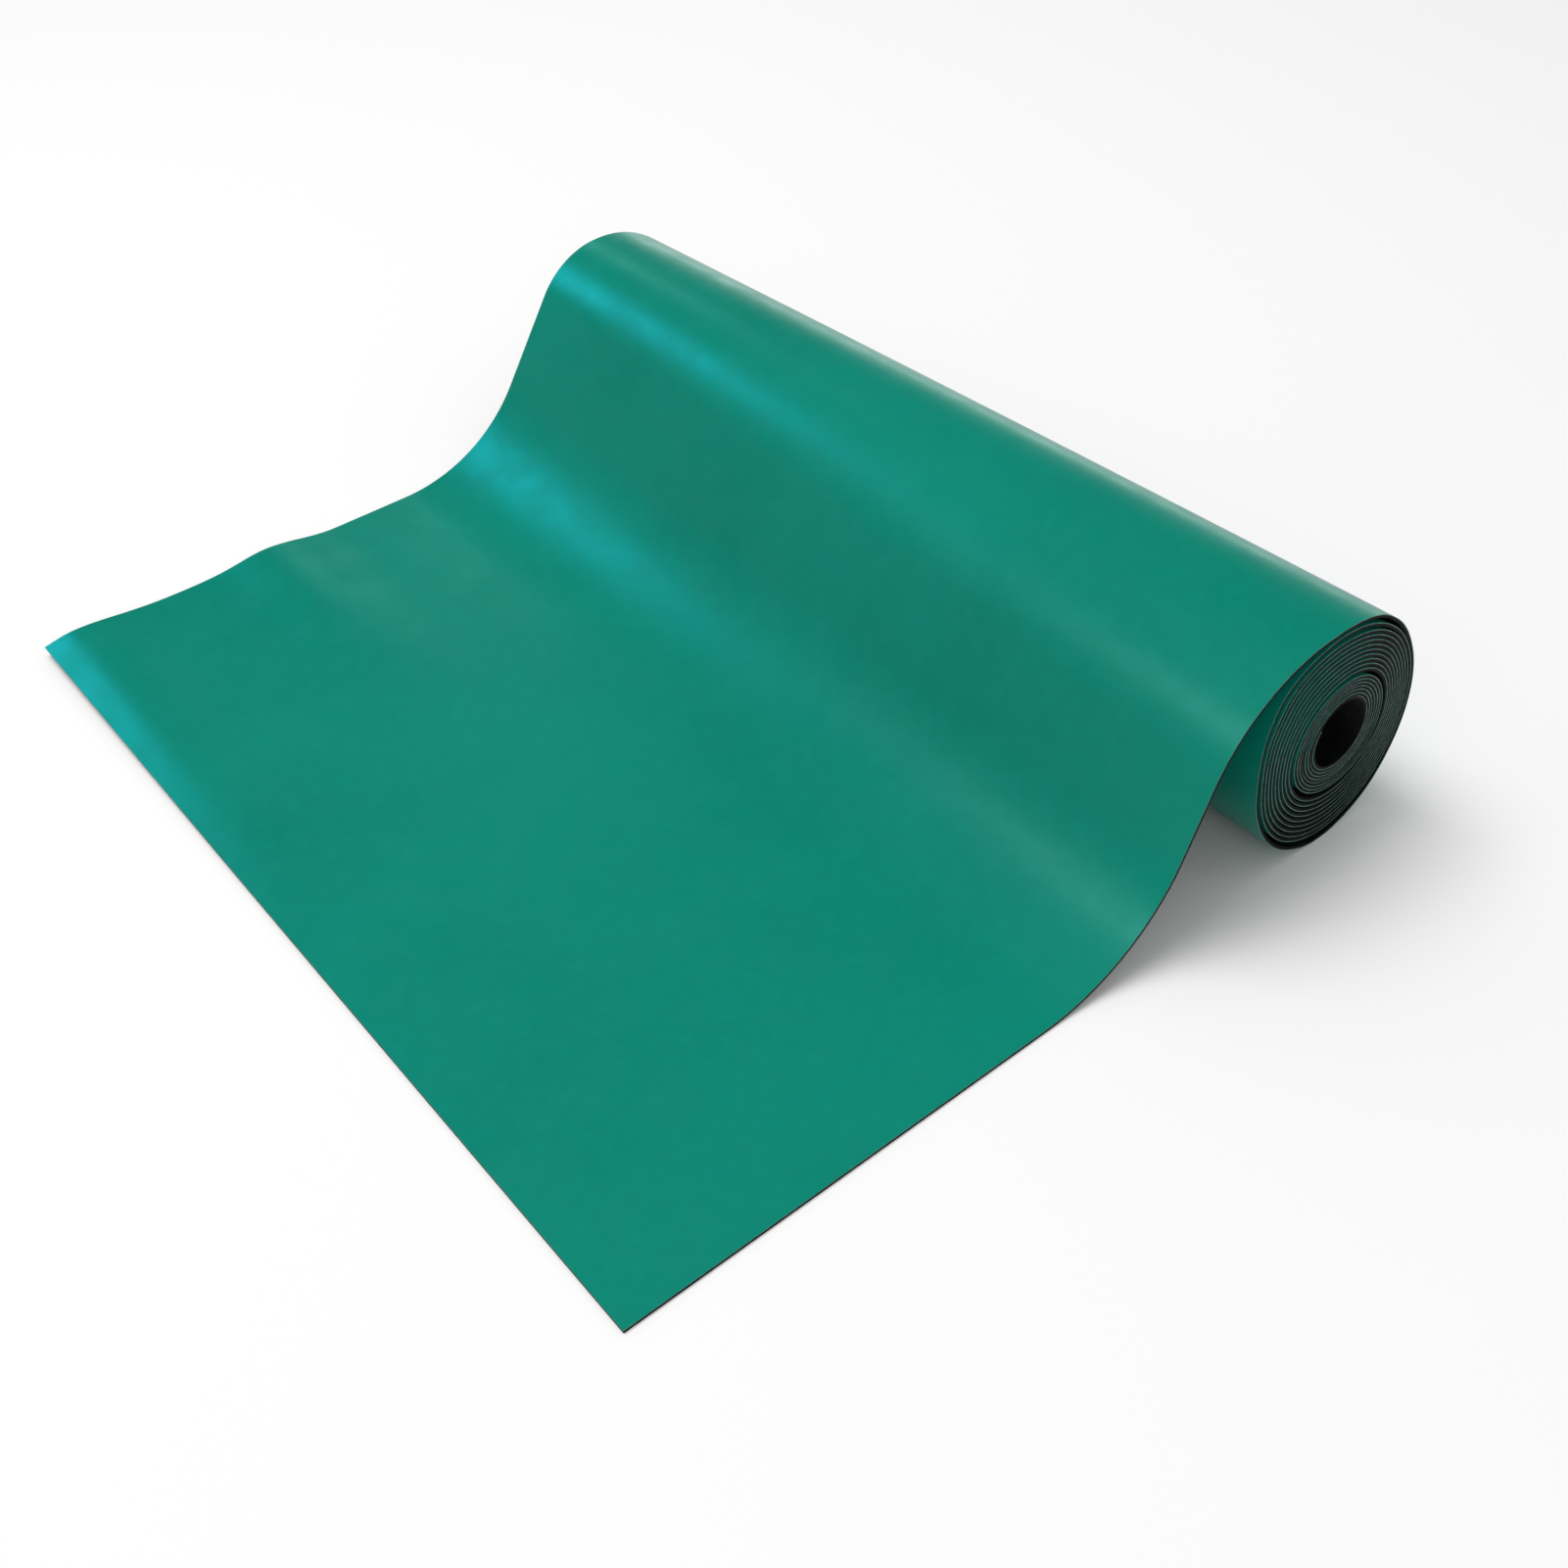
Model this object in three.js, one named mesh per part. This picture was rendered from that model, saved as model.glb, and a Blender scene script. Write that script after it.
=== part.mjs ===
// A roll of two-ply sheet lying on a bench, with its free end drawn off the top and laid flat.
// Millimetres, +Z up. X runs along the roll, and the laid sheet runs towards -Y.
// The sheet is a green face ply bonded to a black backing ply, and it is wound face outwards with no core.
import * as THREE from "three";

// The sheet
const WIDTH = 600;
const FACE = 0.4;
const BOND = 0.04;
const BACKING = 1.31;
const SHEET = FACE + BOND + BACKING;

// The roll, in the section plane: the loose turns' axis, then the tight turns' axis, eye and turns
const AXIS_Y = 9;
const AXIS_Z = 65.5;
const COIL_AXIS_Y = 8.3;
const COIL_AXIS_Z = 66.7;
const EYE_RADIUS = 17.3;
const TURN_PITCH = 1.82;
const COIL_TURNS = 7.4;
const COIL_STEPS_PER_TURN = 24;
const COIL_END_ANGLE = -3670;
const COIL_CLEARANCE = 0.5;

// The outer turns: [angle in degrees, radius at the right end, radius at the left end].
// 90 is straight up. The sheet leaves the roll just past it, and each turn inwards takes 360 off.
const OUTER_TURNS = [
  [-720, 49, 50.2],
  [-690, 50.5, 50.4],
  [-660, 54.5, 51.4],
  [-630, 59, 53],
  [-592, 64.8, 54.7],
  [-570, 61.4, 54.8],
  [-540, 56, 54.4],
  [-510, 56.4, 55],
  [-480, 58.6, 56.6],
  [-450, 59.8, 57.6],
  [-420, 57.2, 57],
  [-393, 53.4, 55.4],
  [-360, 51.5, 53.5],
  [-330, 52.8, 53],
  [-300, 57.3, 53.8],
  [-270, 63.4, 55.4],
  [-250, 67, 56.4],
  [-227, 69.9, 57],
  [-210, 66.2, 57.2],
  [-194, 61.9, 57],
  [-180, 59.5, 57],
  [-151, 59.9, 58.5],
  [-120, 63.2, 62.3],
  [-97, 65.75, 65.75],
  [-92, 65.5, 65.45],
  [-87, 65.4, 65.45],
  [-63, 62.4, 62],
  [-32, 56.5, 58.4],
  [0, 53.7, 57],
  [32, 55.2, 55.9],
  [60, 60.9, 56.2],
  [75, 64.6, 57],
  [90, 67.1, 58.2],
  [103, 69.3, 59.5],
];
const LEAVING_ANGLE = 103;
const OUTER_START_ANGLE = -717;
const LOOSE_STEP_DEGREES = 10;

// The inner turns lie between the coil and the outer turns, and change evenly from round to their shape.
const INNER_TURNS = 8;
const INNER_START_ANGLE = -3597;
const INNER_END_ANGLE = -717.4;

// The run from the top of the roll down to the bench, at each end: the crest's arc over the roll,
// the straight fall at a slope, and the foot's arc on to the bench.
const RUN_RIGHT = { crestY: -7, crestZ: 48, crestRadius: 85, slope: 63, footRadius: 94 };
const RUN_LEFT = { crestY: 3, crestZ: 66, crestRadius: 58, slope: 55, footRadius: 110 };
const CREST_STEPS = 12;
const FALL_STEPS = 3;
const FOOT_STEPS = 9;

// The laid sheet
const RUN_END_Y = -195;
const PAYOUT_LENGTH = 40.5;
const STRIP_LENGTH = 30;
const STRIP_COUNT = 6;

// The clearance at each cut across the sheet, and the shift that centres the part on its own box
const CUT = 0.3;
const CENTRE_SHIFT_Y = 174.4;

const radians = THREE.MathUtils.degToRad;

const faceMaterial = () =>
  new THREE.MeshStandardMaterial({ color: 0x00806c, roughness: 0.42, metalness: 0 });

const backingMaterial = () =>
  new THREE.MeshStandardMaterial({ color: 0x18191a, roughness: 0.55, metalness: 0 });

// A point of the green surface in the section plane, with the direction in which the surface faces.
function sectionPoint(y, z, normalY, normalZ) {
  const length = Math.hypot(normalY, normalZ);
  return { y, z, normalY: normalY / length, normalZ: normalZ / length };
}

// A smooth curve through the outer turns' radii. column 1 is the right end and column 2 the left.
function outerRadius(angle, column) {
  const last = OUTER_TURNS.length - 2;
  const found = OUTER_TURNS.findIndex((knot, i) => i <= last && angle <= OUTER_TURNS[i + 1][0]);
  const i = found < 0 ? last : found;
  const slopeAt = (k) => {
    const before = OUTER_TURNS[Math.max(k - 1, 0)];
    const after = OUTER_TURNS[Math.min(k + 1, last + 1)];
    return (after[column] - before[column]) / (after[0] - before[0]);
  };
  const [startAngle, endAngle] = [OUTER_TURNS[i][0], OUTER_TURNS[i + 1][0]];
  const span = endAngle - startAngle;
  const t = (angle - startAngle) / span;
  const rise = t * t * (3 - 2 * t);
  const startBend = t * (1 - t) * (1 - t) * span * slopeAt(i);
  const endBend = t * t * (t - 1) * span * slopeAt(i + 1);
  return OUTER_TURNS[i][column] * (1 - rise) + OUTER_TURNS[i + 1][column] * rise + startBend + endBend;
}

// The distance from the loose turns' axis to a circle that clears the coil, in this direction.
function roundCoilRadius(angle) {
  const [sin, cos] = [Math.sin(radians(angle)), Math.cos(radians(angle))];
  const [offsetY, offsetZ] = [COIL_AXIS_Y - AXIS_Y, COIL_AXIS_Z - AXIS_Z];
  const circle = EYE_RADIUS + SHEET + TURN_PITCH * COIL_TURNS + SHEET + COIL_CLEARANCE;
  const sideways = offsetY * sin - offsetZ * cos;
  return offsetY * cos + offsetZ * sin + Math.sqrt(circle * circle - sideways * sideways);
}

// The radius anywhere in the loose turns. The inner turns repeat the shape of the first outer turn,
// closed on itself, in a share that falls evenly to none at the coil.
function looseRadius(angle, column) {
  const first = OUTER_TURNS[0][0];
  if (angle >= first) return outerRadius(angle, column);
  const turnsInside = (first - angle) / 360;
  const share = 1 - turnsInside / INNER_TURNS;
  const folded = angle + 360 * Math.ceil(turnsInside);
  const growth = outerRadius(first + 360, column) - outerRadius(first, column);
  const shape = outerRadius(folded, column) - (growth * (folded - first)) / 360;
  return THREE.MathUtils.lerp(roundCoilRadius(angle), shape, share);
}

function onLooseTurn(angle, column) {
  const place = (a) => {
    const radius = looseRadius(a, column);
    return [AXIS_Y + radius * Math.cos(radians(a)), AXIS_Z + radius * Math.sin(radians(a))];
  };
  const [y, z] = place(angle);
  const [beforeY, beforeZ] = place(angle - 0.5);
  const [afterY, afterZ] = place(angle + 0.5);
  return sectionPoint(y, z, afterZ - beforeZ, beforeY - afterY);
}

// The loose turns between two angles, in whole steps except for the last one.
function looseStations(startAngle, endAngle) {
  const steps = Math.ceil((endAngle - startAngle) / LOOSE_STEP_DEGREES);
  const stations = [];
  for (let i = 0; i <= steps; i += 1) {
    const angle = Math.min(startAngle + i * LOOSE_STEP_DEGREES, endAngle);
    stations.push({ left: onLooseTurn(angle, 2), right: onLooseTurn(angle, 1) });
  }
  return stations;
}

// The tight turns, from the eye outwards.
function coilStations() {
  const steps = Math.round(COIL_TURNS * COIL_STEPS_PER_TURN);
  const stations = [];
  for (let i = 0; i <= steps; i += 1) {
    const turns = i / COIL_STEPS_PER_TURN;
    const angle = radians(COIL_END_ANGLE + 360 * (turns - COIL_TURNS));
    const radius = EYE_RADIUS + SHEET + TURN_PITCH * turns;
    const [cos, sin] = [Math.cos(angle), Math.sin(angle)];
    const point = sectionPoint(COIL_AXIS_Y + radius * cos, COIL_AXIS_Z + radius * sin, cos, sin);
    stations.push({ left: point, right: point });
  }
  return stations;
}

// One end's side view of the run: over the crest, down the fall, round the foot and on to the flat.
function runProfile({ crestY, crestZ, crestRadius, slope, footRadius }, column) {
  const points = [];
  const steep = radians(slope);
  const startY = onLooseTurn(LEAVING_ANGLE, column).y - CUT;
  const start = Math.asin((crestY - startY) / crestRadius);
  for (let i = 0; i <= CREST_STEPS; i += 1) {
    const lean = start + ((steep - start) * i) / CREST_STEPS;
    const [sin, cos] = [Math.sin(lean), Math.cos(lean)];
    points.push(sectionPoint(crestY - crestRadius * sin, crestZ + crestRadius * cos, -sin, cos));
  }
  const fallTop = points[points.length - 1];
  const tangent = footRadius * Math.tan(steep / 2);
  const cornerY = fallTop.y - (fallTop.z - SHEET) / Math.tan(steep);
  const footTopY = cornerY + tangent * Math.cos(steep);
  const footTopZ = SHEET + tangent * Math.sin(steep);
  for (let i = 1; i < FALL_STEPS; i += 1) {
    const t = i / FALL_STEPS;
    const y = THREE.MathUtils.lerp(fallTop.y, footTopY, t);
    const z = THREE.MathUtils.lerp(fallTop.z, footTopZ, t);
    points.push(sectionPoint(y, z, -Math.sin(steep), Math.cos(steep)));
  }
  for (let i = 0; i <= FOOT_STEPS; i += 1) {
    const lean = steep * (1 - i / FOOT_STEPS);
    const y = cornerY - tangent + footRadius * Math.sin(lean);
    const z = SHEET + footRadius * (1 - Math.cos(lean));
    points.push(sectionPoint(y, z, -Math.sin(lean), Math.cos(lean)));
  }
  points.push(sectionPoint(RUN_END_Y, SHEET, 0, 1));
  return points;
}

function runStations() {
  const left = runProfile(RUN_LEFT, 2);
  return runProfile(RUN_RIGHT, 1).map((right, i) => ({ left: left[i], right }));
}

// A closed strip of one ply that follows the stations, between two depths under the green surface.
function plyGeometry(stations, outerDepth, innerDepth) {
  const positions = [];
  const corner = (x, point, depth) =>
    positions.push(x, point.y - point.normalY * depth, point.z - point.normalZ * depth);
  for (const { left, right } of stations) {
    corner(WIDTH / 2, right, outerDepth);
    corner(-WIDTH / 2, left, outerDepth);
    corner(-WIDTH / 2, left, innerDepth);
    corner(WIDTH / 2, right, innerDepth);
  }
  const index = [0, 2, 1, 0, 3, 2];
  for (let i = 0; i < stations.length - 1; i += 1) {
    for (let c = 0; c < 4; c += 1) {
      const [a, b] = [4 * i + c, 4 * i + ((c + 1) % 4)];
      // Both broad sides are cut along the same diagonal, so that neighbouring turns never cross.
      if (c === 2) index.push(a, b, a + 4, b, b + 4, a + 4);
      else index.push(a, b, b + 4, a, b + 4, a + 4);
    }
  }
  const last = 4 * (stations.length - 1);
  index.push(last, last + 1, last + 2, last, last + 2, last + 3);
  const geometry = new THREE.BufferGeometry();
  geometry.setAttribute("position", new THREE.Float32BufferAttribute(positions, 3));
  geometry.setIndex(index);
  geometry.computeVertexNormals();
  return geometry;
}

function addMesh(group, name, geometry, material) {
  const mesh = new THREE.Mesh(geometry, material);
  mesh.name = name;
  group.add(mesh);
  return mesh;
}

// Both plies of a wound or falling length.
function addWoundLength(group, name, stations) {
  addMesh(group, `${name}_face`, plyGeometry(stations, 0, FACE), faceMaterial());
  addMesh(group, `${name}_backing`, plyGeometry(stations, FACE + BOND, SHEET), backingMaterial());
}

// Both plies of a flat length, from the cut nearer the roll to the cut nearer the free end.
function addFlatLength(group, name, startY, length) {
  const centreY = startY - length / 2;
  const plies = [
    ["backing", BACKING, BACKING / 2, backingMaterial()],
    ["face", FACE, SHEET - FACE / 2, faceMaterial()],
  ];
  for (const [ply, thickness, height, material] of plies) {
    const geometry = new THREE.BoxGeometry(WIDTH, length - CUT, thickness);
    const mesh = addMesh(group, `${name}_${ply}`, geometry, material);
    mesh.position.set(0, centreY, height);
  }
}

function addStrips(group) {
  const firstY = RUN_END_Y - PAYOUT_LENGTH;
  for (let i = 0; i < STRIP_COUNT; i += 1) {
    addFlatLength(group, `strip_${i + 1}`, firstY - i * STRIP_LENGTH, STRIP_LENGTH);
  }
}

function buildRoll() {
  const sheet = new THREE.Group();
  addWoundLength(sheet, "coil", coilStations());
  addWoundLength(sheet, "inner_turns", looseStations(INNER_START_ANGLE, INNER_END_ANGLE));
  addWoundLength(sheet, "outer_turns", looseStations(OUTER_START_ANGLE, LEAVING_ANGLE));
  addWoundLength(sheet, "run", runStations());
  addFlatLength(sheet, "payout", RUN_END_Y, PAYOUT_LENGTH);
  addStrips(sheet);
  sheet.position.y = CENTRE_SHIFT_Y;
  const part = new THREE.Group();
  part.add(sheet);
  return part;
}

export default buildRoll();
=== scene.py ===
import math

import bpy
import numpy as np
from mathutils import Matrix, Vector


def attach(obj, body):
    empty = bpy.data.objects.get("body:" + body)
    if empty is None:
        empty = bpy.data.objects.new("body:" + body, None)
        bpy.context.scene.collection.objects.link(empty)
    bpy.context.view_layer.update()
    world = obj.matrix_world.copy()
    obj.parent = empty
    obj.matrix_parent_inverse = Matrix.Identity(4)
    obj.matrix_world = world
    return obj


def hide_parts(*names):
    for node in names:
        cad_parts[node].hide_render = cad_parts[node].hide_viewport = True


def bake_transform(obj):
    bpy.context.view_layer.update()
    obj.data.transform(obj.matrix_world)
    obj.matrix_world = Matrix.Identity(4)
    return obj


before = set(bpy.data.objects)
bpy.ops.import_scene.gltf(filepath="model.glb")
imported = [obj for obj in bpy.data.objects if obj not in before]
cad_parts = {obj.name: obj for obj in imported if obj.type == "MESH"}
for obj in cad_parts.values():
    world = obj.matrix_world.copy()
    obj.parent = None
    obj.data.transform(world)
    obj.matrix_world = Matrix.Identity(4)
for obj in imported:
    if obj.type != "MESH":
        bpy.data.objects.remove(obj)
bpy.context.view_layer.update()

# Everything is in metres. X runs along the roll, the laid sheet runs towards -Y, and +Z is up.
# The sheet is a green face ply on a black backing ply, wound face outwards with no core.
WIDTH = 0.6
FACE = 0.0004
BOND = 0.00004
BACKING = 0.00131
SHEET = FACE + BOND + BACKING
PLIES = {"green": (0.0, FACE), "black": (FACE + BOND, SHEET)}

# The section plane is measured from under the roll, and the part's origin is this much further forward.
ORIGIN_SHIFT = 0.1744
AXIS_Y = 0.009
AXIS_Z = 0.0655
COIL_AXIS_Y = 0.0083
COIL_AXIS_Z = 0.0667

# The tight turns
EYE_RADIUS = 0.0173
TURN_PITCH = 0.00182
COIL_TURNS = 7.4
COIL_CLEARANCE = 0.0005
COIL_STEPS_PER_TURN = 110.0
COIL_STAGGER = 0.0014
COIL_SEED = 3.0
WANDER_PER_RADIAN = 0.22
COIL_RADIUS = EYE_RADIUS + SHEET + TURN_PITCH * COIL_TURNS

# The outer turns: angle in degrees, then the radius in millimetres at the right and left ends.
# 90 is straight up. The sheet leaves the roll just past it, and each turn inwards takes 360 off.
OUTER_TURNS = np.array([
    [-720, 49, 50.2],
    [-690, 50.5, 50.4],
    [-660, 54.5, 51.4],
    [-630, 59, 53],
    [-592, 64.8, 54.7],
    [-570, 61.4, 54.8],
    [-540, 56, 54.4],
    [-510, 56.4, 55],
    [-480, 58.6, 56.6],
    [-450, 59.8, 57.6],
    [-420, 57.2, 57],
    [-393, 53.4, 55.4],
    [-360, 51.5, 53.5],
    [-330, 52.8, 53],
    [-300, 57.3, 53.8],
    [-270, 63.4, 55.4],
    [-250, 67, 56.4],
    [-227, 69.9, 57],
    [-210, 66.2, 57.2],
    [-194, 61.9, 57],
    [-180, 59.5, 57],
    [-151, 59.9, 58.5],
    [-120, 63.2, 62.3],
    [-97, 65.75, 65.75],
    [-92, 65.5, 65.45],
    [-87, 65.4, 65.45],
    [-63, 62.4, 62],
    [-32, 56.5, 58.4],
    [0, 53.7, 57],
    [32, 55.2, 55.9],
    [60, 60.9, 56.2],
    [75, 64.6, 57],
    [90, 67.1, 58.2],
    [103, 69.3, 59.5],
])
LEAVING_ANGLE = 103
OUTER_START_ANGLE = -720

# The inner turns lie between the coil and the outer turns, and change evenly from round to their shape.
# A bridge joins them to the coil. Half of it is the last stretch of the coil itself.
INNER_TURNS = 8
HALF_BRIDGE_DEGREES = 70
BRIDGE_END_ANGLE = OUTER_START_ANGLE - 360 * INNER_TURNS
COIL_END_ANGLE = BRIDGE_END_ANGLE - HALF_BRIDGE_DEGREES
BRIDGE_START_ANGLE = COIL_END_ANGLE - HALF_BRIDGE_DEGREES
COIL_PIECE_TURNS = COIL_TURNS - HALF_BRIDGE_DEGREES / 360

# The run from the top of the roll to the bench, at each end: crest arc, straight fall, foot arc.
RUN_RIGHT = {"crest_y": -0.007, "crest_z": 0.048, "crest_radius": 0.085, "slope": 63, "foot_radius": 0.094}
RUN_LEFT = {"crest_y": 0.003, "crest_z": 0.066, "crest_radius": 0.058, "slope": 55, "foot_radius": 0.110}

# The laid sheet: where the run ends, and the lines that the pieces meet on
RUN_END_Y = -0.195
PAYOUT_END_Y = -0.2355
STRIP_LENGTH = 0.030
STRIP_COUNT = 6
FREE_EDGE_Y = PAYOUT_END_Y - STRIP_COUNT * STRIP_LENGTH

# The bulge halfway along the crest
BULGE_HEIGHT = 0.0018
BULGE_Y = 0.004
BULGE_SPREAD = 0.045
BULGE_LOWEST_Z = 0.08
BULGE_ROWS = 45

# How the laid sheet lifts towards its left edge: a slight lift all along, one wave and a raised corner
LIFT_HEIGHT, LIFT_START_Y, LIFT_RAMP, LIFT_REACH = 0.0020, -0.222, 0.035, 0.13
WAVE_HEIGHT, WAVE_Y, WAVE_SPREAD, WAVE_REACH = 0.0042, -0.271, 0.024, 0.10
CORNER_HEIGHT, CORNER_Y, CORNER_REACH = 0.0052, -0.396, 0.27
CORNER_SPREAD_BEHIND, CORNER_SPREAD_AHEAD = 0.036, 0.022
LAID_RAMP = 0.02
LAID_BELOW_Z = 0.01
FLAT_BELOW_Z = 0.003

# Faces that point along X by more than this are cut ends. Edges sharper than this, in radians, are creases.
CUT_END_FACING = 0.7
CREASE_ANGLE = 0.6

# How finely the sheet is divided
COLUMNS = 61
INNER_COLUMNS = 9
INNER_STEPS = 960
BRIDGE_STEPS = 70
OUTER_STEPS = 412
CREST_STEPS = 60
FALL_STEPS = 14
FOOT_STEPS = 50
FLAT_STEP = 0.0025
FIRST_FLAT_STEPS = 4
SMOOTHED_ROWS = 14

CAMERA_PLACE = (0.6661, -0.5822, 0.6279)
CAMERA_TURN, CAMERA_LIFT, CAMERA_ROLL = 54.103, 41.344, -4.414
CAMERA_LENS = 41.44
CAMERA_SENSOR = 36
FLOOR_SIZE = 12


def new_material(name):
    material = bpy.data.materials.new(name)
    material.use_nodes = True
    return material, material.node_tree, material.node_tree.nodes["Principled BSDF"]


def add_node(tree, kind, **settings):
    node = tree.nodes.new(kind)
    for setting, value in settings.items():
        setattr(node, setting, value)
    return node


def noise(tree, coordinates, scale, detail=3.0, roughness=0.55, stretch=(1, 1, 1)):
    mapping = add_node(tree, "ShaderNodeMapping")
    mapping.inputs["Scale"].default_value = stretch
    tree.links.new(coordinates, mapping.inputs["Vector"])
    node = add_node(tree, "ShaderNodeTexNoise")
    node.inputs["Scale"].default_value = scale
    node.inputs["Detail"].default_value = detail
    node.inputs["Roughness"].default_value = roughness
    tree.links.new(mapping.outputs["Vector"], node.inputs["Vector"])
    return node.outputs["Fac"]


def remap(tree, value, low, high, new_low, new_high):
    node = add_node(tree, "ShaderNodeMapRange", interpolation_type="SMOOTHSTEP")
    node.inputs["From Min"].default_value = low
    node.inputs["From Max"].default_value = high
    node.inputs["To Min"].default_value = new_low
    node.inputs["To Max"].default_value = new_high
    tree.links.new(value, node.inputs["Value"])
    return node.outputs["Result"]


def mix_colour(tree, amount, first, second):
    node = add_node(tree, "ShaderNodeMix", data_type="RGBA")
    tree.links.new(amount, node.inputs["Factor"])
    for socket, colour in ((node.inputs[6], first), (node.inputs[7], second)):
        if isinstance(colour, tuple):
            socket.default_value = (*colour, 1)
        else:
            tree.links.new(colour, socket)
    return node.outputs[2]


def bump(tree, height, strength, distance, below=None):
    node = add_node(tree, "ShaderNodeBump")
    node.inputs["Strength"].default_value = strength
    node.inputs["Distance"].default_value = distance
    tree.links.new(height, node.inputs["Height"])
    if below is not None:
        tree.links.new(below, node.inputs["Normal"])
    return node.outputs["Normal"]


def green_face_material():
    """Satin green face: fine grain, slow changes of shade, faint rubbed marks and a soft pale sheen."""
    material, tree, surface = new_material("green_face")
    place = add_node(tree, "ShaderNodeTexCoord").outputs["Object"]
    patches = remap(tree, noise(tree, place, 5.0, 2.0), 0.35, 0.65, 0, 1)
    colour = mix_colour(tree, patches, (0.0, 0.200, 0.142), (0.0, 0.218, 0.156))
    mottle = remap(tree, noise(tree, place, 120.0, 4.0), 0.40, 0.72, 0, 0.25)
    colour = mix_colour(tree, mottle, colour, (0.0, 0.250, 0.186))
    rubbed = remap(tree, noise(tree, place, 30.0, 5.0, 0.6, (0.25, 2.5, 1)), 0.62, 0.82, 0, 0.20)
    colour = mix_colour(tree, rubbed, colour, (0.01, 0.26, 0.20))
    tree.links.new(colour, surface.inputs["Base Color"])
    gloss = remap(tree, noise(tree, place, 40.0, 5.0), 0.30, 0.70, 0.31, 0.38)
    tree.links.new(gloss, surface.inputs["Roughness"])
    surface.inputs["Specular IOR Level"].default_value = 0.25
    surface.inputs["Sheen Weight"].default_value = 0.01
    surface.inputs["Sheen Roughness"].default_value = 0.45
    surface.inputs["Sheen Tint"].default_value = (0.75, 1.0, 0.95, 1)
    ripple = bump(tree, noise(tree, place, 55.0, 2.0), 0.05, 0.0006)
    grain = bump(tree, noise(tree, place, 1500.0, 3.0, 0.6), 0.22, 0.00012, ripple)
    tree.links.new(grain, surface.inputs["Normal"])
    return material


def black_backing_material():
    """Matt black foamed backing with a dusty, slightly uneven skin."""
    material, tree, surface = new_material("black_backing")
    place = add_node(tree, "ShaderNodeTexCoord").outputs["Object"]
    dusty = remap(tree, noise(tree, place, 45.0, 5.0, 0.65), 0.42, 0.72, 0, 1)
    colour = mix_colour(tree, dusty, (0.004, 0.005, 0.005), (0.014, 0.015, 0.015))
    tree.links.new(colour, surface.inputs["Base Color"])
    gloss = remap(tree, noise(tree, place, 300.0, 3.0), 0.30, 0.70, 0.48, 0.66)
    tree.links.new(gloss, surface.inputs["Roughness"])
    cells = bump(tree, noise(tree, place, 900.0, 4.0, 0.7), 0.35, 0.0002)
    tree.links.new(cells, surface.inputs["Normal"])
    return material


def cut_edge_material(name, dark, light, roughness):
    """A knife-cut edge with uneven streaks and almost no shine."""
    material, tree, surface = new_material(name)
    place = add_node(tree, "ShaderNodeTexCoord").outputs["Object"]
    streaks = remap(tree, noise(tree, place, 260.0, 5.0, 0.7), 0.30, 0.70, 0, 1)
    tree.links.new(mix_colour(tree, streaks, dark, light), surface.inputs["Base Color"])
    surface.inputs["Roughness"].default_value = roughness
    surface.inputs["Specular IOR Level"].default_value = 0.1
    rough = bump(tree, noise(tree, place, 1400.0, 4.0, 0.7), 0.45, 0.0003)
    tree.links.new(rough, surface.inputs["Normal"])
    return material


def calculate(tree, operation, *values):
    node = add_node(tree, "ShaderNodeMath", operation=operation)
    for socket, value in zip(node.inputs, values):
        if isinstance(value, (int, float)):
            socket.default_value = value
        else:
            tree.links.new(value, socket)
    return node.outputs[0]


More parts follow.
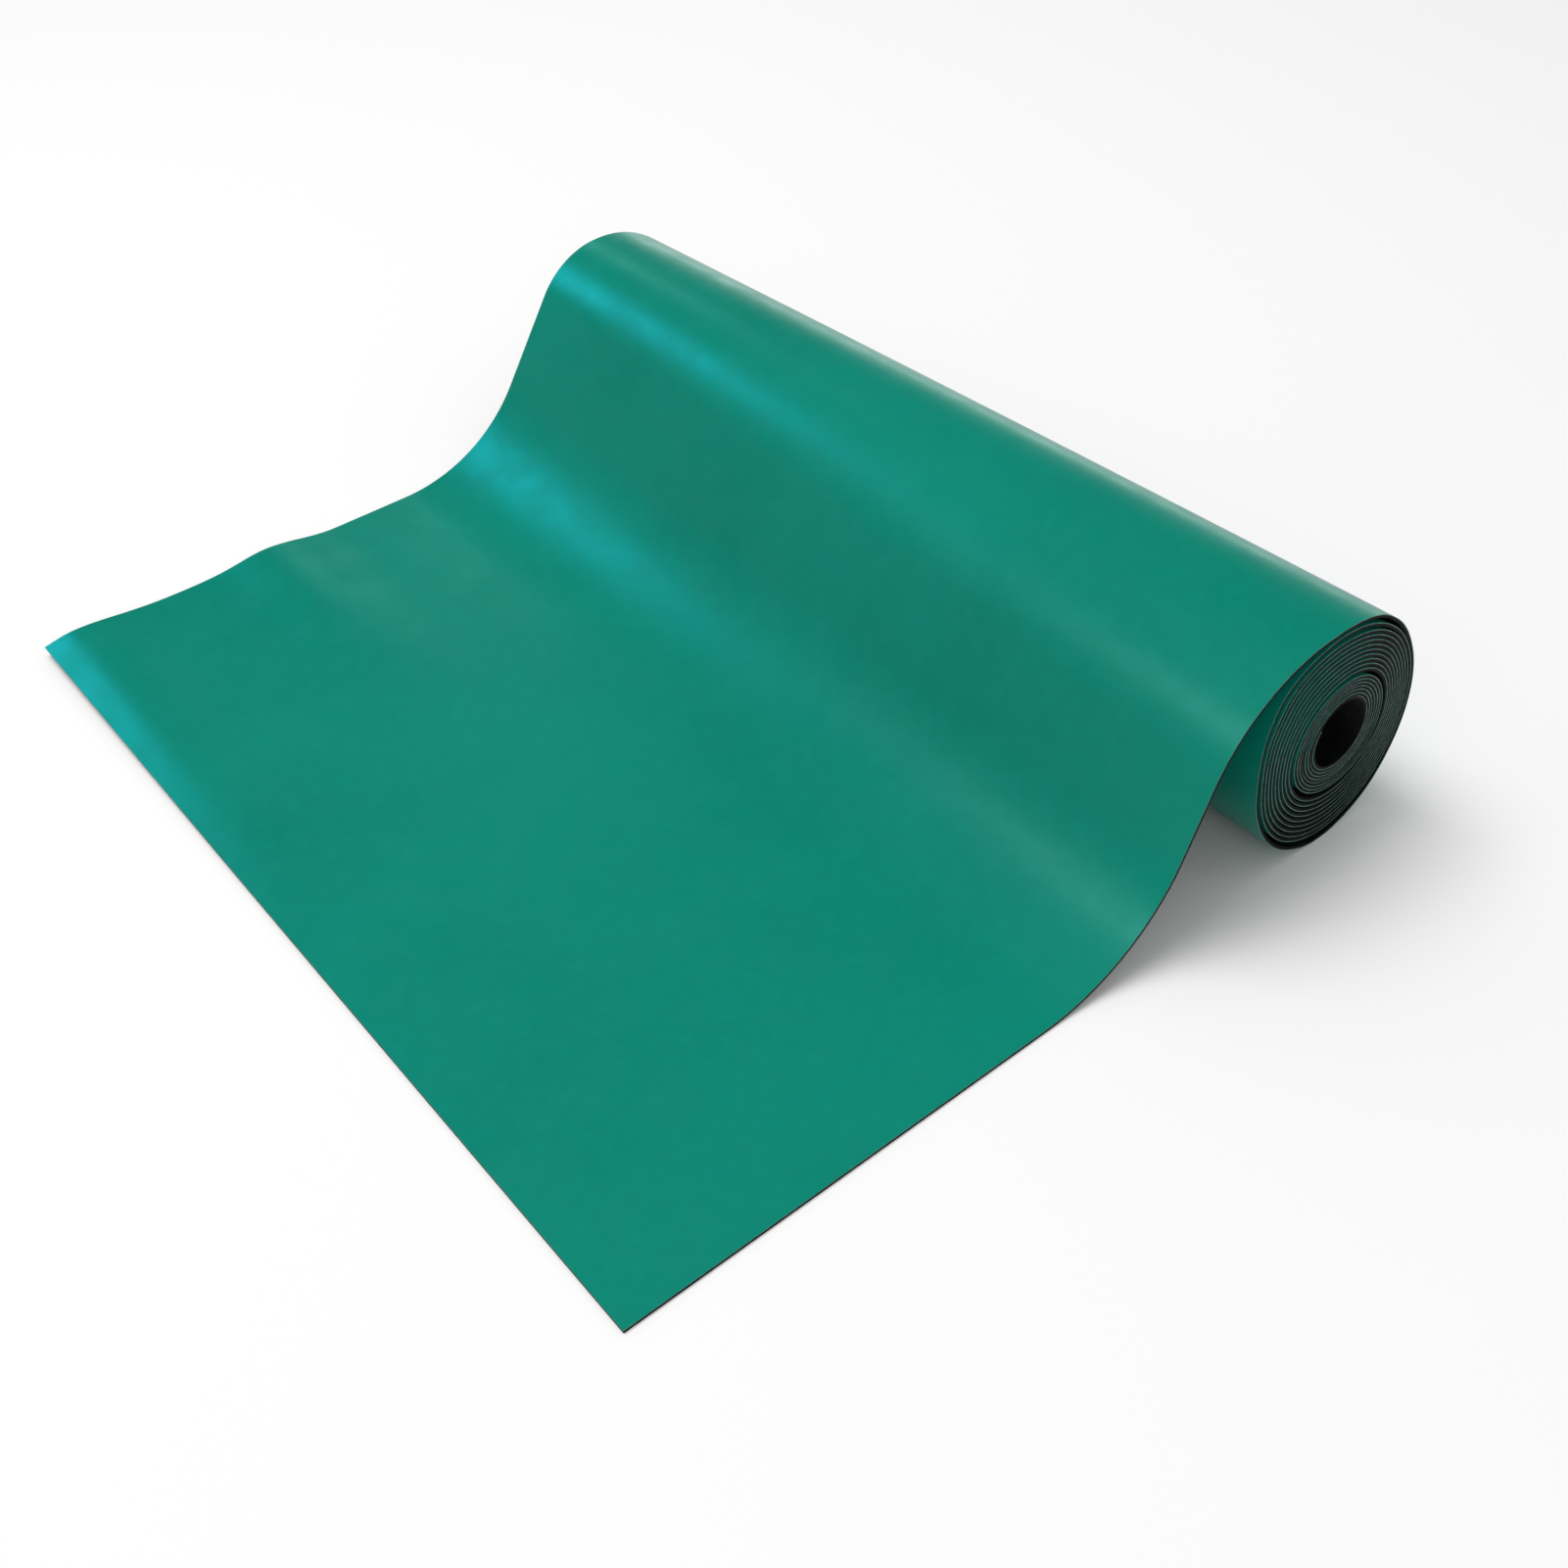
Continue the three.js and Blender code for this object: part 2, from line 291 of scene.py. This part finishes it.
def wound_ply_tree():
    """Geometry nodes for one ply of the tight turns: a closed box bent into a spiral about its axis."""
    tree = bpy.data.node_groups.new("wound_ply", "GeometryNodeTree")
    tree.interface.new_socket("Ply", in_out="OUTPUT", socket_type="NodeSocketGeometry")
    for label in ("Width", "Eye Radius", "Turn Pitch", "Turns", "End Angle", "Sheet Thickness", "Outer Depth",
                  "Inner Depth", "Axis Y", "Axis Z", "Steps per Turn", "Stagger", "Seed"):
        tree.interface.new_socket(label, in_out="INPUT", socket_type="NodeSocketFloat")
    for label in ("Skin", "Cut Edge"):
        tree.interface.new_socket(label, in_out="INPUT", socket_type="NodeSocketMaterial")
    given = add_node(tree, "NodeGroupInput").outputs

    def maths(operation, *values):
        return calculate(tree, operation, *values)

    box = add_node(tree, "GeometryNodeMeshCube")
    tree.links.new(maths("MULTIPLY", given["Turns"], given["Steps per Turn"]), box.inputs["Vertices X"])
    box.inputs["Vertices Y"].default_value = 3
    box.inputs["Vertices Z"].default_value = 2

    place = add_node(tree, "ShaderNodeSeparateXYZ")
    tree.links.new(add_node(tree, "GeometryNodeInputPosition").outputs[0], place.inputs[0])
    along = maths("ADD", place.outputs["X"], 0.5)
    outward = maths("ADD", place.outputs["Z"], 0.5)

    wound = maths("MULTIPLY", given["Turns"], along)
    left_over = maths("SUBTRACT", wound, given["Turns"])
    angle = maths("MULTIPLY_ADD", left_over, 2 * math.pi, given["End Angle"])

    thickness = maths("SUBTRACT", given["Inner Depth"], given["Outer Depth"])
    depth = maths("SUBTRACT", given["Inner Depth"], maths("MULTIPLY", thickness, outward))
    radius = maths("ADD", given["Eye Radius"], given["Sheet Thickness"])
    radius = maths("MULTIPLY_ADD", given["Turn Pitch"], wound, radius)
    radius = maths("SUBTRACT", radius, depth)

    wander = add_node(tree, "ShaderNodeTexNoise", noise_dimensions="1D")
    wander.inputs["Scale"].default_value = 1.0
    wander.inputs["Detail"].default_value = 2.0
    tree.links.new(maths("MULTIPLY_ADD", angle, WANDER_PER_RADIAN, given["Seed"]), wander.inputs["W"])
    shift = maths("MULTIPLY", maths("SUBTRACT", wander.outputs["Fac"], 0.5), given["Stagger"])

    bent = add_node(tree, "ShaderNodeCombineXYZ")
    tree.links.new(maths("MULTIPLY_ADD", place.outputs["Y"], given["Width"], shift), bent.inputs["X"])
    tree.links.new(maths("MULTIPLY_ADD", maths("COSINE", angle), radius, given["Axis Y"]), bent.inputs["Y"])
    tree.links.new(maths("MULTIPLY_ADD", maths("SINE", angle), radius, given["Axis Z"]), bent.inputs["Z"])
    wind = add_node(tree, "GeometryNodeSetPosition")
    tree.links.new(box.outputs["Mesh"], wind.inputs["Geometry"])
    tree.links.new(bent.outputs[0], wind.inputs["Position"])

    skin = add_node(tree, "GeometryNodeSetMaterial")
    tree.links.new(wind.outputs["Geometry"], skin.inputs["Geometry"])
    tree.links.new(given["Skin"], skin.inputs["Material"])

    facing = add_node(tree, "ShaderNodeSeparateXYZ")
    tree.links.new(add_node(tree, "GeometryNodeInputNormal").outputs[0], facing.inputs[0])
    at_end = maths("GREATER_THAN", maths("ABSOLUTE", facing.outputs["X"]), CUT_END_FACING)
    edge = add_node(tree, "GeometryNodeSetMaterial")
    tree.links.new(skin.outputs["Geometry"], edge.inputs["Geometry"])
    tree.links.new(at_end, edge.inputs["Selection"])
    tree.links.new(given["Cut Edge"], edge.inputs["Material"])

    edge_angle = add_node(tree, "GeometryNodeInputMeshEdgeAngle").outputs[0]
    sharp = maths("GREATER_THAN", edge_angle, CREASE_ANGLE)
    creases = add_node(tree, "GeometryNodeSetShadeSmooth", domain="EDGE")
    tree.links.new(edge.outputs["Geometry"], creases.inputs["Geometry"])
    tree.links.new(sharp, creases.inputs["Selection"])
    creases.inputs["Shade Smooth"].default_value = False

    realised = add_node(tree, "GeometryNodeRealizeInstances")
    tree.links.new(creases.outputs["Geometry"], realised.inputs["Geometry"])
    result = add_node(tree, "NodeGroupOutput")
    tree.links.new(realised.outputs["Geometry"], result.inputs["Ply"])
    return tree


def run_tree(name, tree, values):
    """Runs a geometry tree on an empty mesh and keeps its result as a plain mesh."""
    maker = bpy.data.objects.new(name + "_maker", bpy.data.meshes.new(name + "_maker"))
    bpy.context.scene.collection.objects.link(maker)
    modifier = maker.modifiers.new("wind", "NODES")
    modifier.node_group = tree
    for item in tree.interface.items_tree:
        if item.in_out == "INPUT":
            modifier[item.identifier] = values[item.name]
    evaluated = maker.evaluated_get(bpy.context.evaluated_depsgraph_get())
    mesh = bpy.data.meshes.new_from_object(evaluated)
    mesh.name = name
    bpy.data.objects.remove(maker)
    piece = bpy.data.objects.new(name, mesh)
    bpy.context.scene.collection.objects.link(piece)
    return piece


def coil_piece(ply, tree, skin, edge):
    outer, inner = PLIES[ply]
    values = {
        "Width": WIDTH, "Eye Radius": EYE_RADIUS, "Turn Pitch": TURN_PITCH, "Turns": COIL_PIECE_TURNS,
        "End Angle": math.radians(BRIDGE_START_ANGLE), "Sheet Thickness": SHEET,
        "Outer Depth": outer, "Inner Depth": inner,
        "Axis Y": COIL_AXIS_Y + ORIGIN_SHIFT, "Axis Z": COIL_AXIS_Z,
        "Steps per Turn": COIL_STEPS_PER_TURN, "Stagger": COIL_STAGGER, "Seed": COIL_SEED,
        "Skin": skin, "Cut Edge": edge,
    }
    return run_tree(f"coil_{ply}", tree, values)


def outer_radius(angles, column):
    """Radius of the outer turns in metres, as a smooth curve through the table."""
    knots = OUTER_TURNS[:, 0]
    radii = OUTER_TURNS[:, column] / 1000
    slopes = np.gradient(radii, knots)
    slopes[1:-1] = (radii[2:] - radii[:-2]) / (knots[2:] - knots[:-2])
    i = np.clip(np.searchsorted(knots, angles, side="right") - 1, 0, len(knots) - 2)
    span = knots[i + 1] - knots[i]
    t = (angles - knots[i]) / span
    rise = t * t * (3 - 2 * t)
    bend = t * (1 - t) ** 2 * span * slopes[i] + t * t * (t - 1) * span * slopes[i + 1]
    return radii[i] * (1 - rise) + radii[i + 1] * rise + bend


def round_coil_radius(angles):
    """The distance from the loose turns' axis to a circle that clears the coil, in each direction."""
    turned = np.radians(angles)
    offset_y, offset_z = COIL_AXIS_Y - AXIS_Y, COIL_AXIS_Z - AXIS_Z
    sideways = offset_y * np.sin(turned) - offset_z * np.cos(turned)
    reach = np.sqrt((COIL_RADIUS + SHEET + COIL_CLEARANCE) ** 2 - sideways ** 2)
    return offset_y * np.cos(turned) + offset_z * np.sin(turned) + reach


def inner_radius(angles, column):
    """Radius of the inner turns: the first outer turn's shape, in a share that falls to none at the coil."""
    turns_inside = (OUTER_START_ANGLE - angles) / 360
    share = 1 - turns_inside / INNER_TURNS
    folded = angles + 360 * np.ceil(turns_inside)
    first, second = outer_radius(np.array([OUTER_START_ANGLE, OUTER_START_ANGLE + 360]), column)
    shape = outer_radius(folded, column) - (second - first) * (folded - OUTER_START_ANGLE) / 360
    return round_coil_radius(angles) * (1 - share) + shape * share


def round_axis(angles, radii, axis=(AXIS_Y, AXIS_Z)):
    """Points in the section plane at these angles in degrees and radii about an axis."""
    turned = np.radians(angles)
    return np.stack([axis[0] + radii * np.cos(turned), axis[1] + radii * np.sin(turned)], axis=1)


def bridge_profile(column):
    """The arc of sheet that joins the tight turns to the loose ones."""
    angles = np.linspace(BRIDGE_START_ANGLE, BRIDGE_END_ANGLE, BRIDGE_STEPS + 1)
    t = np.linspace(0, 1, BRIDGE_STEPS + 1)[:, None]
    radii = COIL_RADIUS + TURN_PITCH * (angles - COIL_END_ANGLE) / 360
    coiled = round_axis(angles, radii, (COIL_AXIS_Y, COIL_AXIS_Z))
    end = round_axis(angles[-1:], inner_radius(angles[-1:], column))
    return coiled + (end - coiled[-1]) * t * t * (3 - 2 * t)


def inner_profile(column):
    angles = np.linspace(BRIDGE_END_ANGLE, OUTER_START_ANGLE, INNER_STEPS + 1)
    return round_axis(angles, inner_radius(angles, column))


def outer_profile(column):
    angles = np.linspace(OUTER_START_ANGLE, LEAVING_ANGLE, OUTER_STEPS + 1)
    return round_axis(angles, outer_radius(angles, column))


def run_profile(start_y, crest_y, crest_z, crest_radius, slope, foot_radius):
    """Over the crest, down the fall and round the foot on to the flat."""
    steep = math.radians(slope)
    start = math.asin((crest_y - start_y) / crest_radius)
    lean = np.linspace(start, steep, CREST_STEPS + 1)[1:]
    crest = np.stack([crest_y - crest_radius * np.sin(lean), crest_z + crest_radius * np.cos(lean)], axis=1)
    tangent = foot_radius * math.tan(steep / 2)
    corner_y = crest[-1, 0] - (crest[-1, 1] - SHEET) / math.tan(steep)
    foot_top = np.array([corner_y + tangent * math.cos(steep), SHEET + tangent * math.sin(steep)])
    t = np.linspace(0, 1, FALL_STEPS + 1)[1:-1, None]
    fall = crest[-1] * (1 - t) + foot_top * t
    lean = np.linspace(steep, 0, FOOT_STEPS + 1)
    foot_y = corner_y - tangent + foot_radius * np.sin(lean)
    foot_z = SHEET + foot_radius * (1 - np.cos(lean))
    return np.concatenate([crest, fall, np.stack([foot_y, foot_z], axis=1)])


def flat_profile(start_y):
    """The flat from the foot to the free edge, with points on every line that pieces meet on."""
    stops = [start_y, RUN_END_Y]
    stops += [PAYOUT_END_Y - STRIP_LENGTH * (i + 0.5) for i in range(STRIP_COUNT - 1)]
    stops.append(FREE_EDGE_Y)
    places = []
    for i, (first, last) in enumerate(zip(stops, stops[1:])):
        steps = FIRST_FLAT_STEPS if i == 0 else math.ceil((first - last) / FLAT_STEP)
        places.append(np.linspace(first, last, steps + 1)[1:])
    along = np.concatenate(places)
    return np.stack([along, np.full(len(along), SHEET)], axis=1)


def sheet_profile(column, run):
    """One end's side view, from the inside of the outer turns to the free edge."""
    wound = outer_profile(column)
    falling = run_profile(wound[-1, 0], **run)
    return np.concatenate([wound, falling, flat_profile(falling[-1, 0])])


def smooth_joint(profile, centre, reach):
    """Evens out the slight change of slope where the loose turns become the run."""
    smoothed = profile.copy()
    for _ in range(reach):
        smoothed[1:-1] = (smoothed[:-2] + 2 * smoothed[1:-1] + smoothed[2:]) / 4
    place = np.arange(len(profile)) - centre
    keep = np.clip(1 - np.abs(place) / reach, 0, 1)[:, None]
    keep = keep * keep * (3 - 2 * keep)
    return profile * (1 - keep) + smoothed * keep


def ruled_surface(right, left, columns=COLUMNS):
    """The green surface as a grid of points: rows along the sheet, columns from the left end to the right."""
    across = np.linspace(0, 1, columns)
    section = left[:, None, :] * (1 - across[None, :, None]) + right[:, None, :] * across[None, :, None]
    x = np.broadcast_to((across - 0.5) * WIDTH, section.shape[:2])
    return np.stack([x, section[..., 0], section[..., 1]], axis=2)


def bell(values, centre, spread):
    return np.exp(-(((values - centre) / spread) ** 2))


def lie_unevenly(grid):
    """The laid sheet doesn't quite lie flat: its left side lifts, with one wave and a raised corner."""
    x, y, z = grid[..., 0], grid[..., 1], grid[..., 2]
    ramp = np.clip((LIFT_START_Y - y) / LIFT_RAMP, 0, 1)
    lift = LIFT_HEIGHT * ramp * ramp * (3 - 2 * ramp)
    wave = WAVE_HEIGHT * bell(y, WAVE_Y, WAVE_SPREAD)
    behind = bell(y, CORNER_Y, CORNER_SPREAD_BEHIND)
    corner = CORNER_HEIGHT * np.where(y > CORNER_Y, behind, bell(y, CORNER_Y, CORNER_SPREAD_AHEAD))
    rise = lift * bell(x, -WIDTH / 2, LIFT_REACH)
    rise = rise + wave * bell(x, -WIDTH / 2, WAVE_REACH)
    rise = rise + corner * bell(x, -WIDTH / 2, CORNER_REACH)
    laid = np.clip((RUN_END_Y - y) / LAID_RAMP, 0, 1) * (z < LAID_BELOW_Z)
    grid[..., 2] = z + rise * laid
    return grid


def bulge_at_crest(grid):
    """Halfway along the roll the crest stands slightly prouder than a straight line between its ends."""
    last_turn = np.arange(len(grid)) > OUTER_STEPS - BULGE_ROWS
    over = bell(grid[..., 1], BULGE_Y, BULGE_SPREAD) * (grid[..., 2] > BULGE_LOWEST_Z) * last_turn[:, None]
    middle = 1 - (grid[..., 0] / (WIDTH / 2)) ** 2
    return grid + surface_normals(grid) * (BULGE_HEIGHT * over * middle)[..., None]


def surface_normals(grid):
    along = np.gradient(grid, axis=0)
    across = np.gradient(grid, axis=1)
    normals = np.cross(along, across)
    return normals / np.linalg.norm(normals, axis=2, keepdims=True)


def row_at(grid, y):
    """The row of the flat that lies on this line across the sheet."""
    flat = np.where(grid[:, -1, 2] < FLAT_BELOW_Z)[0]
    flat = flat[flat > len(grid) // 2]
    return int(flat[np.argmin(np.abs(grid[flat, -1, 1] - y))])


def ply_piece(name, grid, normals, rows, depths, skin, edge):
    """A closed piece of one ply between two rows of the sheet, between two depths under the green surface."""
    first, last = rows
    surface = grid[first:last + 1]
    facing = normals[first:last + 1]
    rows_here, columns = surface.shape[:2]
    outer = surface - facing * depths[0]
    inner = surface - facing * depths[1]
    points = np.concatenate([outer.reshape(-1, 3), inner.reshape(-1, 3)])
    points[:, 1] += ORIGIN_SHIFT

    top = np.arange(rows_here * columns).reshape(rows_here, columns)
    under = top + rows_here * columns
    out_flat = facing.reshape(-1, 3)
    sideways = np.array([1.0, 0.0, 0.0])
    lengthways = np.gradient(surface, axis=0)
    lengthways = lengthways / np.linalg.norm(lengthways, axis=2, keepdims=True)
    faces, loops, edges = [], [], []

    def add(corners, corner_normals, is_edge):
        faces.append(np.stack([c.ravel() for c in corners], axis=1))
        spread = [np.broadcast_to(n, (c.size, 3)) for c, n in zip(corners, corner_normals)]
        loops.append(np.stack(spread, axis=1))
        edges.append(np.full(corners[0].size, is_edge))

    def quads(ids, turned, direction, is_edge):
        corners = [ids[:-1, :-1], ids[1:, :-1], ids[1:, 1:], ids[:-1, 1:]]
        if turned:
            corners.reverse()
        add(corners, [direction(c.ravel()) for c in corners], is_edge)

    quads(top, False, lambda c: out_flat[c], False)
    quads(under, True, lambda c: -out_flat[c - rows_here * columns], False)
    left = np.stack([under[:, 0], top[:, 0]], axis=1)
    right = np.stack([under[:, -1], top[:, -1]], axis=1)
    quads(left, False, lambda c: -sideways, True)
    quads(right, True, lambda c: sideways, True)
    start = np.stack([under[0], top[0]], axis=1)
    finish = np.stack([under[-1], top[-1]], axis=1)
    quads(start, True, lambda c: -lengthways[0, columns // 2], True)
    quads(finish, False, lambda c: lengthways[-1, columns // 2], True)

    faces = np.concatenate(faces)
    mesh = bpy.data.meshes.new(name)
    mesh.from_pydata(points.tolist(), [], faces.tolist())
    mesh.materials.append(skin)
    mesh.materials.append(edge)
    mesh.polygons.foreach_set("material_index", np.concatenate(edges).astype(np.int32))
    mesh.polygons.foreach_set("use_smooth", np.ones(len(faces), dtype=bool))
    mesh.normals_split_custom_set(np.concatenate(loops).reshape(-1, 3).tolist())
    piece = bpy.data.objects.new(name, mesh)
    bpy.context.scene.collection.objects.link(piece)
    return piece


def build_ply(ply, coil_tree, sheet, inner, bridge, skin, edge):
    """All the pieces of one ply. The tight turns ride with the coil, the inner and outer turns and the run
    ride with the roll, and the other pieces stay where they lie.
    """
    kind = "face" if ply == "green" else "backing"
    grid, normals = sheet
    inner_grid, inner_normals = inner
    bridge_grid, bridge_normals = bridge
    depths = PLIES[ply]

    def declare(piece, nodes):
        if nodes:
            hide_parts(*[f"{node}_{kind}" for node in nodes])
        return piece

    coil = coil_piece(ply, coil_tree, skin, edge)
    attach(coil, "coil")
    declare(coil, ["coil"])

    last = len(bridge_grid) - 1
    joining = ply_piece(f"joining_turn_{ply}", bridge_grid, bridge_normals, (0, last), depths, skin, edge)
    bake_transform(joining)
    declare(joining, [])

    last = len(inner_grid) - 1
    inner_turns = ply_piece(f"inner_turns_{ply}", inner_grid, inner_normals, (0, last), depths, skin, edge)
    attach(inner_turns, "roll")
    declare(inner_turns, ["inner_turns"])

    run_end = row_at(grid, RUN_END_Y)
    middles = [row_at(grid, PAYOUT_END_Y - STRIP_LENGTH * (i + 0.5)) for i in range(STRIP_COUNT - 1)]
    free = len(grid) - 1
    outer = ply_piece(f"outer_turns_and_run_{ply}", grid, normals, (0, run_end), depths, skin, edge)
    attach(outer, "roll")
    declare(outer, ["outer_turns", "run"])

    drawn = ply_piece(f"drawn_off_{ply}", grid, normals, (run_end, middles[0]), depths, skin, edge)
    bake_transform(drawn)
    declare(drawn, ["payout", "strip_1"])

    for i in range(1, STRIP_COUNT):
        rows = (middles[i - 1], middles[i] if i < STRIP_COUNT - 1 else free)
        laid = ply_piece(f"laid_{i}_{ply}", grid, normals, rows, depths, skin, edge)
        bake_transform(laid)
        declare(laid, [f"strip_{i + 1}"])


def build_sheet():
    coil_tree = wound_ply_tree()
    right = sheet_profile(1, RUN_RIGHT)
    left = sheet_profile(2, RUN_LEFT)
    right = smooth_joint(right, OUTER_STEPS, SMOOTHED_ROWS)
    left = smooth_joint(left, OUTER_STEPS, SMOOTHED_ROWS)
    grid = lie_unevenly(bulge_at_crest(ruled_surface(right, left)))
    inner_grid = ruled_surface(inner_profile(1), inner_profile(2), INNER_COLUMNS)
    bridge_grid = ruled_surface(bridge_profile(1), bridge_profile(2), INNER_COLUMNS)
    sheet = (grid, surface_normals(grid))
    inner = (inner_grid, surface_normals(inner_grid))
    bridge = (bridge_grid, surface_normals(bridge_grid))
    skins = {"green": green_face_material(), "black": black_backing_material()}
    cuts = {
        "green": cut_edge_material("green_cut_edge", (0.04, 0.12, 0.10), (0.15, 0.26, 0.22), 0.5),
        "black": cut_edge_material("black_cut_edge", (0.002, 0.002, 0.002), (0.007, 0.007, 0.007), 0.7),
    }
    for ply in PLIES:
        build_ply(ply, coil_tree, sheet, inner, bridge, skins[ply], cuts[ply])


def add_floor():
    bpy.ops.mesh.primitive_plane_add(size=FLOOR_SIZE, location=(0, 0, 0))
    floor = bpy.context.object
    floor.name = "floor"
    material, _, surface = new_material("pale_floor")
    surface.inputs["Base Color"].default_value = (0.86, 0.86, 0.86, 1)
    surface.inputs["Roughness"].default_value = 0.9
    surface.inputs["Specular IOR Level"].default_value = 0.1
    floor.data.materials.append(material)


def add_soft_light(name, place, target, size, power, colour, shines_as):
    """A soft box. It either lights the surfaces, or is only seen in them as a reflection."""
    data = bpy.data.lights.new(name, "AREA")
    data.shape = "RECTANGLE"
    data.size, data.size_y = size
    data.energy = power
    data.color = colour
    light = bpy.data.objects.new(name, data)
    light.location = place
    light.rotation_euler = (Vector(target) - Vector(place)).to_track_quat("-Z", "Y").to_euler()
    light.visible_glossy = shines_as != "light"
    light.visible_diffuse = shines_as != "reflection"
    bpy.context.scene.collection.objects.link(light)


def add_lights():
    middle = (0.0, -0.05, 0.0)
    pale = (0.40, 1.0, 0.95)
    paler = (0.8, 1.0, 0.97)
    side_target = (-0.25, -0.1, 0)
    back_target = (0, 0.1, 0.1)
    add_soft_light("key_light", (-1.0, -0.5, 4.0), middle, (2.6, 2.6), 120, (1.0, 0.99, 0.97), "light")
    add_soft_light("fill_light", (2.4, -1.4, 1.8), middle, (1.2, 1.2), 11, (1.0, 1.0, 1.0), "light")
    add_soft_light("window", (-1.87, -0.42, 1.12), middle, (0.55, 0.5), 13, (0.03, 0.66, 0.95), "reflection")
    add_soft_light("foot_reflector", (-0.55, -1.15, 1.36), (0.28, 0.05, 0), (0.4, 0.4), 7, pale, "reflection")
    add_soft_light("side_reflector", (-1.85, 0.80, 1.0), side_target, (0.3, 0.3), 1.2, pale, "reflection")
    add_soft_light("back_reflector", (-1.3, 2.4, 0.2), back_target, (3.2, 0.4), 13, paler, "reflection")
    world = bpy.context.scene.world or bpy.data.worlds.new("studio")
    bpy.context.scene.world = world
    world.use_nodes = True
    world.cycles_visibility.glossy = False
    sky = world.node_tree.nodes["Background"]
    sky.inputs["Color"].default_value = (0.98, 0.99, 1.0, 1)
    sky.inputs["Strength"].default_value = 0.52
    bpy.context.scene.view_settings.view_transform = "Standard"


def add_camera():
    turn, lift, roll = (math.radians(v) for v in (CAMERA_TURN, CAMERA_LIFT, CAMERA_ROLL))
    back = Vector((math.sin(turn) * math.cos(lift), -math.cos(turn) * math.cos(lift), math.sin(lift)))
    level = Vector((math.cos(turn), math.sin(turn), 0))
    above = back.cross(level)
    right = level * math.cos(roll) + above * math.sin(roll)
    up = above * math.cos(roll) - level * math.sin(roll)
    data = bpy.data.cameras.new("studio_camera")
    data.lens = CAMERA_LENS
    data.sensor_width = CAMERA_SENSOR
    camera = bpy.data.objects.new("studio_camera", data)
    place = Vector(CAMERA_PLACE) + Vector((0, ORIGIN_SHIFT, 0))
    camera.matrix_world = Matrix.Translation(place) @ Matrix((right, up, back)).transposed().to_4x4()
    bpy.context.scene.collection.objects.link(camera)
    bpy.context.scene.camera = camera


build_sheet()
add_floor()
add_lights()
add_camera()
